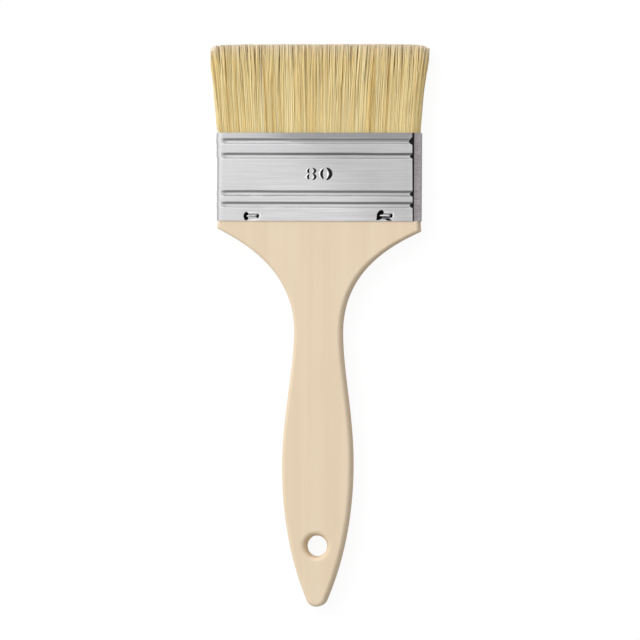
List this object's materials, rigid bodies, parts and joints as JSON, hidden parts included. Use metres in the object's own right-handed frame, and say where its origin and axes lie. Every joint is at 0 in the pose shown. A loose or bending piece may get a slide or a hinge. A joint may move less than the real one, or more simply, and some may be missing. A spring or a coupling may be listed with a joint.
{
  "type": "flat_paint_brush",
  "caption": "Flat varnish brush with a bare pale wood handle, a grooved tinned ferrule and straw-coloured synthetic bristles",
  "frame": {"origin": "under the middle of the brush's length, on the plane its back rests on", "axes": "+X across the brush to the seam side, +Y from the handle's nose to the bristle tips, +Z out of the front face"},
  "size_m": [0.086, 0.22, 0.0092],
  "materials": {
    "pale_wood": "matte",
    "tinned_sheet": "satin",
    "cast_resin": "gloss",
    "spacer_board": "matte",
    "filament": "satin",
    "staple_wire": "satin"
  },
  "bodies": {
    "root": {"handle": "pale_wood", "ferrule": "tinned_sheet", "resin_setting": "cast_resin", "spacer_strip": "spacer_board", "bristles_front": "filament", "bristles_back": "filament", "staple_front_left": "staple_wire", "staple_front_right": "staple_wire", "staple_back_left": "staple_wire", "staple_back_right": "staple_wire"}
  },
  "joints": []
}
